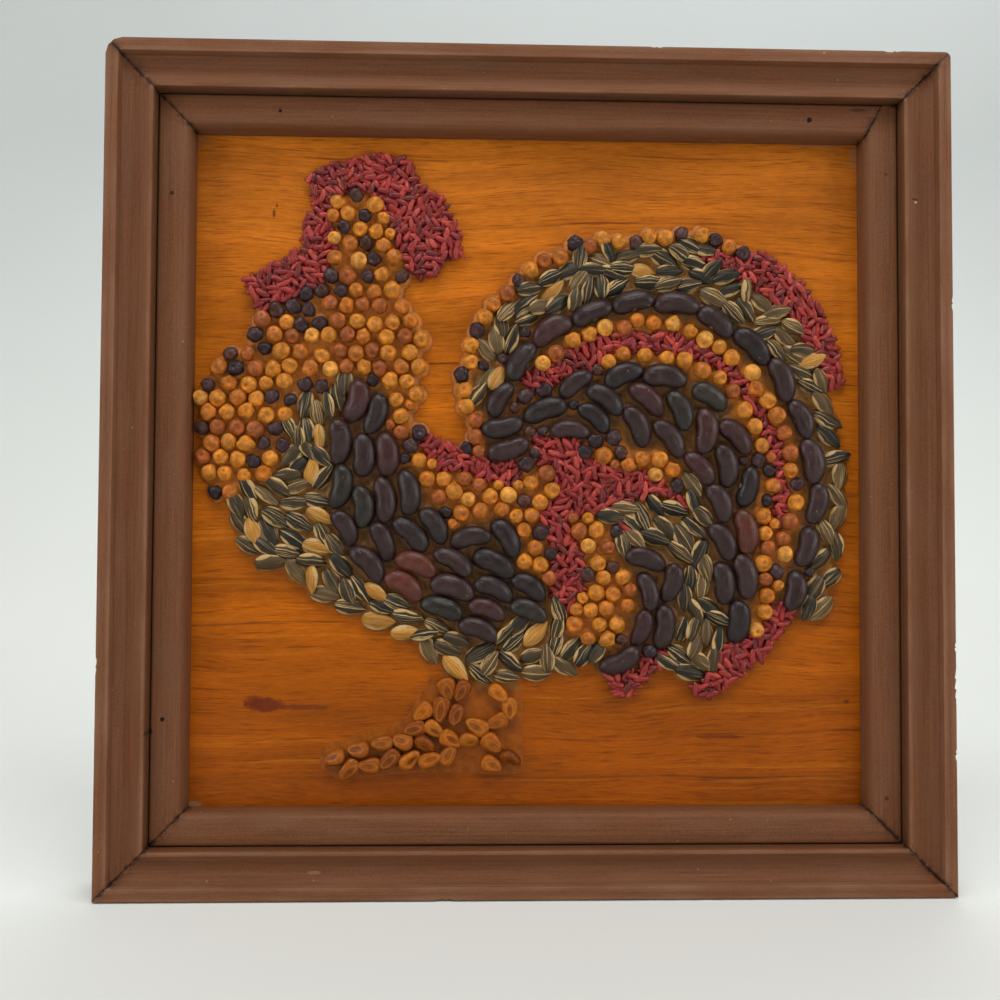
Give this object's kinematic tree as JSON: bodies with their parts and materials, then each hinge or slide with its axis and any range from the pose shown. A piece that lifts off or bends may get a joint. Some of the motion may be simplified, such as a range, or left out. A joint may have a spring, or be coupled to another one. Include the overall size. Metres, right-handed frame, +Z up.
{
  "type": "mosaic panel",
  "caption": "Square framed picture of a rooster laid in dried beans, peas, sunflower seeds, maize and dyed rice on a stained pine board, made to hang on a wall",
  "frame": {"origin": "on the flat back of the top rail, at its middle, where the panel rests against the wall and hangs", "axes": "+Z up, +X to the right as seen from the front, the picture faces -Y and the wall lies at +Y"},
  "size_m": [0.305, 0.03, 0.305],
  "materials": {
    "frame_wood": "dark brown stain, satin, worn at the corners",
    "board_pine": "amber stain and varnish over pine, semi-gloss",
    "dark_beans": "smooth dry seed coat, soft sheen",
    "sunflower_seeds": "striped dry husk, varnished",
    "maize_kernels": "dry kernel, varnished",
    "dried_peas": "dry, dull to satin, some dimpled",
    "dyed_rice": "dyed crimson, glued"
  },
  "bodies": {
    "root": {"outer_rail_top": "frame_wood", "outer_rail_bottom": "frame_wood", "outer_rail_left": "frame_wood", "outer_rail_right": "frame_wood", "inner_strip_top": "frame_wood", "inner_strip_bottom": "frame_wood", "inner_strip_left": "frame_wood", "inner_strip_right": "frame_wood", "board": "board_pine", "wing_beans": "dark_beans", "tail_outer_beans": "dark_beans", "tail_inner_beans": "dark_beans", "plume_beans": "dark_beans", "breast_sunflower_seeds": "sunflower_seeds", "tail_sunflower_seeds": "sunflower_seeds", "plume_sunflower_seeds": "sunflower_seeds", "leg_kernels": "maize_kernels", "tail_border_peas": "dried_peas", "tail_outer_peas": "dried_peas", "tail_inner_peas": "dried_peas", "head_and_neck_peas": "dried_peas", "saddle_peas": "dried_peas", "tail_fan_peas": "dried_peas", "tail_root_peas": "dried_peas", "comb_rice": "dyed_rice", "saddle_rice": "dyed_rice", "tail_rice_band": "dyed_rice", "tail_root_rice": "dyed_rice", "tail_crescent_rice": "dyed_rice", "plume_tip_rice": "dyed_rice", "tail_tip_rice": "dyed_rice"}
  },
  "joints": []
}
